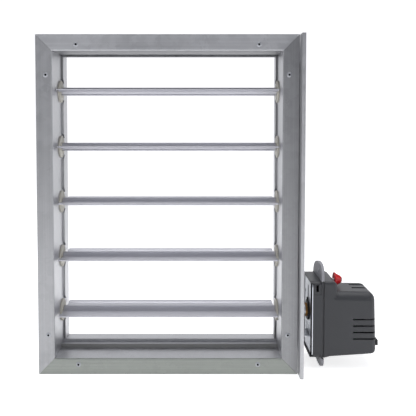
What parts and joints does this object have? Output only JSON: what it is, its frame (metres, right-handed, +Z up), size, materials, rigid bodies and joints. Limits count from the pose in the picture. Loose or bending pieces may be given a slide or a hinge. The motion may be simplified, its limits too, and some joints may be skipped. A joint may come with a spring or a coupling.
{
  "type": "volume control damper",
  "caption": "Rectangular opposed-blade volume control damper: mitred flanged duct frame, linked aerofoil blades on geared shafts, and a side-mounted rotary actuator with a red release knob.",
  "frame": {"origin": "centre of the duct opening, half way through the frame's depth", "axes": "+X from the duct centre to the actuator, +Y along the duct from the front flange to the rear flange, +Z up"},
  "size_m": [0.5705, 0.169, 0.562],
  "materials": {
    "grey_plastic": "moulded, fine texture",
    "board": "glass-fibre board",
    "zinc_plate": "bright zinc plate",
    "bronze": "sintered bronze, satin",
    "gear_nylon": "moulded, matt",
    "black_plastic": "moulded, matt",
    "red_plastic": "moulded, semi-gloss",
    "blade_aluminium": "extruded, satin mill finish",
    "cream_nylon": "moulded, matt",
    "galvanised": "galvanised sheet, faint spangle, satin",
    "plated_steel": "zinc plated, satin",
    "seal_rubber": "extruded strip, matt"
  },
  "bodies": {
    "frame": {"act_base": "grey_plastic", "act_board": "board", "act_board_posts": "zinc_plate", "act_cover": "grey_plastic", "act_latch": "black_plastic", "act_motor": "zinc_plate", "act_plate": "zinc_plate", "act_screws": "zinc_plate", "anti_rotation_bracket": "zinc_plate", "bracket_screws": "zinc_plate", "bushes_left": "cream_nylon", "bushes_right": "cream_nylon", "corner_brackets_front": "zinc_plate", "corner_brackets_rear": "zinc_plate", "cover_screws": "zinc_plate", "cover_standoffs": "zinc_plate", "frame_bottom": "galvanised", "frame_left": "galvanised", "frame_right": "galvanised", "frame_top": "galvanised", "rivets_front": "zinc_plate", "rivets_rear": "zinc_plate", "side_cover": "galvanised", "sill": "galvanised", "sill_rivets": "zinc_plate", "sill_seal": "seal_rubber"},
    "drive_blade": {"blade_5": "blade_aluminium", "shaft_5": "plated_steel", "gear_5": "gear_nylon", "act_hub": "zinc_plate", "act_bush": "bronze", "act_indicator": "black_plastic", "act_gear": "gear_nylon"},
    "blade_four": {"blade_4": "blade_aluminium", "shaft_4": "plated_steel", "gear_4": "gear_nylon"},
    "blade_three": {"blade_3": "blade_aluminium", "shaft_3": "plated_steel", "gear_3": "gear_nylon"},
    "blade_two": {"blade_2": "blade_aluminium", "shaft_2": "plated_steel", "gear_2": "gear_nylon"},
    "blade_one": {"blade_1": "blade_aluminium", "shaft_1": "plated_steel", "gear_1": "gear_nylon"},
    "motor_pinion": {"act_pinion": "bronze"},
    "release_knob": {"act_knob": "red_plastic", "act_spindle": "zinc_plate"}
  },
  "joints": [
    {"name": "drive_blade_turn", "type": "hinge", "parent": "frame", "child": "drive_blade", "pos_m": [0, 0, -0.19], "axis": [1, 0, 0], "range_deg": [0, 90]},
    {"name": "blade_four_turn", "type": "hinge", "parent": "frame", "child": "blade_four", "pos_m": [0, 0, -0.095], "axis": [1, 0, 0], "range_deg": [-90, 0]},
    {"name": "blade_three_turn", "type": "hinge", "parent": "frame", "child": "blade_three", "pos_m": [0, 0, 0], "axis": [1, 0, 0], "range_deg": [0, 90]},
    {"name": "blade_two_turn", "type": "hinge", "parent": "frame", "child": "blade_two", "pos_m": [0, 0, 0.095], "axis": [1, 0, 0], "range_deg": [-90, 0]},
    {"name": "blade_one_turn", "type": "hinge", "parent": "frame", "child": "blade_one", "pos_m": [0, 0, 0.19], "axis": [1, 0, 0], "range_deg": [0, 90]},
    {"name": "motor_pinion_spin", "type": "hinge", "parent": "frame", "child": "motor_pinion", "pos_m": [0.252, 0, -0.2275], "axis": [1, 0, 0], "range_deg": [-360, 0]},
    {"name": "release_knob_turn", "type": "hinge", "parent": "frame", "child": "release_knob", "pos_m": [0.2866, 0, -0.137], "axis": [1, 0, 0], "range_deg": [0, 90]}
  ],
  "couplings": [
    {"joint": "blade_four_turn", "follows": "drive_blade_turn", "ratio": -1},
    {"joint": "blade_three_turn", "follows": "drive_blade_turn", "ratio": 1},
    {"joint": "blade_two_turn", "follows": "drive_blade_turn", "ratio": -1},
    {"joint": "blade_one_turn", "follows": "drive_blade_turn", "ratio": 1},
    {"joint": "motor_pinion_spin", "follows": "drive_blade_turn", "ratio": -4}
  ]
}
